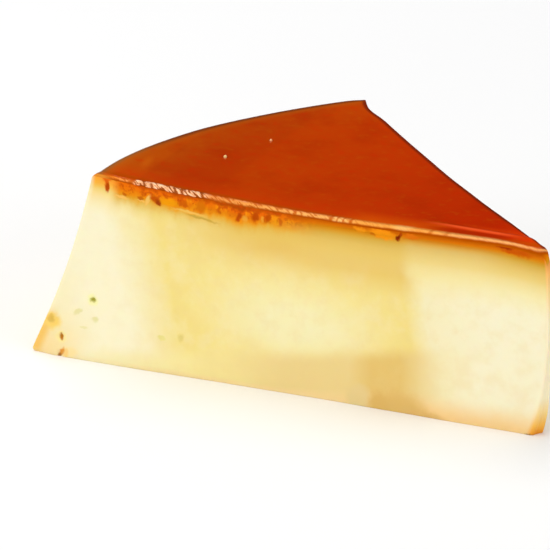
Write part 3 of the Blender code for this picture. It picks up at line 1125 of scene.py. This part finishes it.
# Breaks in the line: distance from the tip, half width and how much of the line is gone
LINE_BREAKS = (
    (0.0215, 0.0008, 0.5),
    (0.0248, 0.0007, 0.6),
    (0.0418, 0.0006, 0.9),
    (0.0434, 0.0003, 0.7),
    (0.0447, 0.0003, 0.7),
    (0.0460, 0.0007, 0.9),
    (0.0538, 0.0006, 0.7),
    (0.0892, 0.0009, 0.9),
)
# The caramel stands thick at one place, where the painted glint line is wider and brighter.
# Under the line it is dark, and bright at the corner.
THICK_AT = 0.0307
THICK_REACH = (0.0030, 0.0006)
THICK_STARTS = 0.0003
THICK_ENDS = 0.00015
# Painted highlight tones: the glint where the caramel stands thick, and the bright and pale glints of the
# lace
THICK_GLINT_TONE = paint(255, 186, 102)
LACE_GLINT_BRIGHT = paint(255, 214, 172)
LACE_GLINT_PALE = paint(250, 178, 126)
LACE_GAP = paint(158, 76, 26)
LINE_GAP = paint(206, 96, 18)
UNDER_LINE = paint(178, 76, 0)
UNDER_LACE = paint(152, 62, 2)
UNDER_LINE_FADE = 0.0006
UNDER_EDGE = (-0.0003, 0.0002)
CORNER_EDGE = paint(226, 140, 46)
CORNER_ALONG = (0.0925, 0.0955)


def glint_line_tone(at, edge, laced, thick, tone):
    """A tone of the painted glint line, thickened, mottled and broken, and turned to lace."""
    tone = mixed(thick, tone, THICK_GLINT_TONE)
    along = plus(at.from_tip, times(edge, STROKE_LEAN))
    strokes = add("CombineXYZ", {"X": along, "Y": times(edge, STROKE_FLATNESS)}).outputs[0]
    stroke = speckle(strokes, *STROKE_GRAIN)
    mottled = times(ranged(stroke, *MOTTLES), ranged(at.from_tip, *MOTTLES_ALONG))
    tone = mixed(mottled, tone, LINE_GAP)
    for place, half_width, gone in LINE_BREAKS:
        tone = mixed(near(at.from_tip, place, half_width, BREAK_MIDDLE, gone), tone, LINE_GAP)
    lace = mixed(ranged(stroke, *LACE_PALE_FROM), LACE_GAP, LACE_GLINT_PALE)
    lace = mixed(ranged(stroke, *LACE_BRIGHT_FROM), lace, LACE_GLINT_BRIGHT)
    return mixed(laced, tone, lace)


def glint_line_cover(at, edge, laced, thick, line_foot):
    """Where the painted glint line lies, from its start on the top to its foot on the cut."""
    raggedness = ranged(laced, *RAGGED_BY_LACE)
    ragged = plus(edge, wander(at.where, *RAGGED_GRAIN, raggedness))
    narrows = ranged(at.from_tip, *LINE_NARROWS)
    beyond_lace = ranged(at.from_tip, *OUTER_LINE_AT)
    line_start = ranged(at.from_tip, *LINE_START_ALONG, LINE_FROM_NEAR_TIP, LINE_FROM)
    line_start = mixed_value(beyond_lace, line_start, OUTER_LINE_FROM)
    line_start = times(mixed_value(laced, line_start, LACE_FROM_EDGE), narrows)
    line_start = times(line_start, ranged(at.from_tip, *LINE_NARROWS_BY_RIM))
    line_start = minus(line_start, times(thick, THICK_STARTS))
    fades_in = ranged(plus(laced, beyond_lace), 0.0, 1.0, LINE_FADES_IN, LACE_FADES_IN)
    fades_in = times(fades_in, narrows)
    fades_out = ranged(laced, 0.0, 1.0, LINE_FADES_OUT, LACE_FADES_OUT)
    begun = ranged(ragged, line_start, plus(line_start, fades_in))
    return times(begun, ranged(ragged, line_foot, minus(line_foot, fades_out)))


def glint_edged(at, edge, laced, colour):
    """A colour with the front edge's painted glint line, its lace and the dark line below them over it."""
    tone, line_foot = ramp(at.along, GLINT_LINE_TONES)
    thick = near(at.from_tip, THICK_AT, *THICK_REACH)
    line_foot = plus(times(line_foot, MILLIMETRE), times(thick, THICK_ENDS))
    tone = glint_line_tone(at, edge, laced, thick, tone)
    line = glint_line_cover(at, edge, laced, thick, line_foot)
    below = ramp(calculated("DIVIDE", at.depth, STAIN_REACH), INNER_STAIN)[0]
    under_line = mixed(laced, UNDER_LINE, UNDER_LACE)
    below_line = ranged(edge, line_foot, plus(line_foot, UNDER_LINE_FADE))
    below = mixed(below_line, under_line, below)
    at_corner = ranged(at.from_tip, *CORNER_ALONG)
    below = mixed(at_corner, below, CORNER_EDGE)
    line = times(line, minus(1.0, at_corner))
    under = ranged(edge, *UNDER_EDGE)
    colour = mixed(times(under, at.on_front), colour, below)
    return mixed(times(line, at.on_front), colour, tone)


# The top is wet and glossy, more so in the lace, and less at the tip, the rim's corner and the front edge
TIP_GLOSS = (0.004, 0.011, 0.15, 1.0)
CORNER_GLOSS = (0.0950, 0.0920, 0.2, 1.0)
LACE_GLOSS = (0.0, 1.0, 0.20, 0.45)
EDGE_GLOSS = (-0.0004, -0.0010)
TOP_GLOSS = (0.0010, 0.0020)
SMEAR_GRAIN = (60.0, 3.0)
tree, shader = coated(caramel, "wet_caramel")
at = place_in_slice(tree)
edge = minus(at.depth, at.to_front)
laced = times(ranged(at.from_tip, *LACE_STARTS), ranged(at.from_tip, *LACE_ENDS))
colour = top_colour(at)
# The dark rings round the bubbles are painted shadows
colour = bubble_shadowed(at, colour)
# The ridge's highlight and glow and the shade in front of it are painted
colour = ridge_lit_and_shaded(at, colour)
# The dark outline along the rim and the back edge is painted shade
colour = rim_shaded(at, colour)
# The glint line and the lace along the front edge are painted highlights
colour = glint_edged(at, edge, laced, colour)
gloss = times(ranged(at.from_tip, *TIP_GLOSS), ranged(at.from_tip, *CORNER_GLOSS))
gloss = times(gloss, ranged(laced, *LACE_GLOSS))
off_edge = plus(ranged(edge, *EDGE_GLOSS), ranged(at.to_front, *TOP_GLOSS))
smears = speckle(at.where, *SMEAR_GRAIN)
caramel_finish = {
    "Base Color": colour,
    "Roughness": 0.10,
    "Specular IOR Level": times(gloss, off_edge),
    "Normal": add("Bump", {"Height": smears, "Distance": 0.0002, "Strength": 0.3}).outputs[0],
}
feed(shader, caramel_finish)
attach(caramel, "root")
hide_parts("caramel")

# Two bubbles: air that rose through the wet caramel and set as domes on the top.
# Their pale paint, rosy on one, is a painted highlight, the glint on each.
# Each is a small ball, sunk to just below its middle.
BUBBLE_TALLER = 1.5
BUBBLE_SUNK = 0.25
FILM_GRAIN = (1500.0, 2.0)
FILM_SPREAD = (0.35, 0.65)
BUBBLE_GLINT_TONES = (paint(255, 206, 128), paint(255, 222, 150))
ROSY_GLINT_TONE = paint(255, 178, 118)
ROSY_FROM_Y = (-0.012, -0.008)
bm = bmesh.new()
for radius, angle, size in BUBBLES:
    place = on_top(radius, angle) - Vector((0.0, 0.0, BUBBLE_SUNK * size))
    ball = Matrix.Translation(place) @ Matrix.Diagonal((1.0, 1.0, BUBBLE_TALLER, 1.0))
    bmesh.ops.create_uvsphere(bm, u_segments=24, v_segments=16, radius=size, matrix=ball)
bubbles = piece_from(bm, "bubbles")
bubbles.data.shade_smooth()
tree, shader = coated(bubbles, "bubble_painted_glint")
where = add_to(tree, "TexCoord", {}).outputs["Object"]
film = ranged(speckle(where, *FILM_GRAIN), *FILM_SPREAD)
skin = mixed(film, *BUBBLE_GLINT_TONES)
rosy = ranged(add("SeparateXYZ", {0: where}).outputs["Y"], *ROSY_FROM_Y)
feed(shader, {"Base Color": mixed(rosy, skin, ROSY_GLINT_TONE), "Roughness": 0.12})
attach(bubbles, "root")

# The stage: a plain sheet of white paper as the floor, far wider than the view.
# It is one flat face, matt, and hardly clouded.
FLOOR_HALF = 6.0
PAPER_GRAIN = (3.0, 2.0)
PAPER_SPREAD = (0.3, 0.7)
PAPER_TONES = (paint(250, 250, 250), paint(252, 252, 252))
bm = bmesh.new()
bmesh.ops.create_grid(bm, x_segments=1, y_segments=1, size=FLOOR_HALF)
floor = piece_from(bm, "floor")
tree, shader = coated(floor, "white_paper")
where = add_to(tree, "TexCoord", {}).outputs["Object"]
paper = ranged(speckle(where, *PAPER_GRAIN), *PAPER_SPREAD)
feed(shader, {"Base Color": mixed(paper, *PAPER_TONES), "Roughness": 0.9})

# The light: a soft white room that only fills, a long strip overhead that draws the wet edges,
# a broad soft light from the front left that lights the cut, and a smaller one from the right.
ROOM_FILL = 0.50
scene = bpy.context.scene
scene.view_settings.view_transform = "Standard"
world = bpy.data.worlds.new("room")
scene.world = world
world.use_nodes = True
world.node_tree.nodes["Background"].inputs["Color"].default_value = (1.0, 1.0, 1.0, 1.0)
world.node_tree.nodes["Background"].inputs["Strength"].default_value = ROOM_FILL
world.cycles_visibility.glossy = False


def soft_light(name, place, width, length, power, turn=0.0):
    """A rectangular light that faces the slice, with its length turned about its own axis."""
    light = bpy.data.lights.new(name, "AREA")
    light.shape = "RECTANGLE"
    light.size = width
    light.size_y = length
    light.energy = power
    lamp = bpy.data.objects.new(name, light)
    lamp.location = place
    facing = Vector(place).to_track_quat("Z", "Y")
    lamp.rotation_euler = (facing.to_matrix() @ Matrix.Rotation(turn, 3, "Z")).to_euler()
    scene.collection.objects.link(lamp)


soft_light(
    "overhead_strip", place=(-0.42, 0.10, 1.05), width=0.40, length=1.5, power=6.6, turn=math.radians(90.0)
)
soft_light("front_left", place=(-0.60, -1.40, 0.95), width=1.0, length=1.0, power=8.4)
soft_light("right", place=(1.30, -0.40, 0.55), width=0.8, length=0.8, power=3.4)

# The camera: far off with a long lens, as the photo's lines hardly converge, and tilted a little.
# Its place was fitted to the slice's outline in the photo. It looks at a point on the front cut.
PHOTO_SIDE = 550
FOCAL_PIXELS = 10087.1
CAMERA_DISTANCE = 2.0
AZIMUTH = math.radians(22.815)
ELEVATION = math.radians(19.40)
ROLL = math.radians(1.589)
AIM = on_front_cut(0.057518, 0.024473)
camera = bpy.data.cameras.new("camera")
camera.sensor_width = 36.0
camera.lens = FOCAL_PIXELS / PHOTO_SIDE * camera.sensor_width
camera.clip_start = 0.1
camera.clip_end = 50.0
back = Vector(
    (
        math.sin(AZIMUTH) * math.cos(ELEVATION),
        -math.cos(AZIMUTH) * math.cos(ELEVATION),
        math.sin(ELEVATION),
    )
)
level_right = Vector((math.cos(AZIMUTH), math.sin(AZIMUTH), 0.0))
level_up = back.cross(level_right)
right = level_right * math.cos(ROLL) + level_up * math.sin(ROLL)
upward = back.cross(right)
turned = Matrix((right, upward, back)).transposed().to_4x4()
viewer = bpy.data.objects.new("camera", camera)
viewer.matrix_world = Matrix.Translation(AIM + back * CAMERA_DISTANCE) @ turned
scene.collection.objects.link(viewer)
scene.camera = viewer
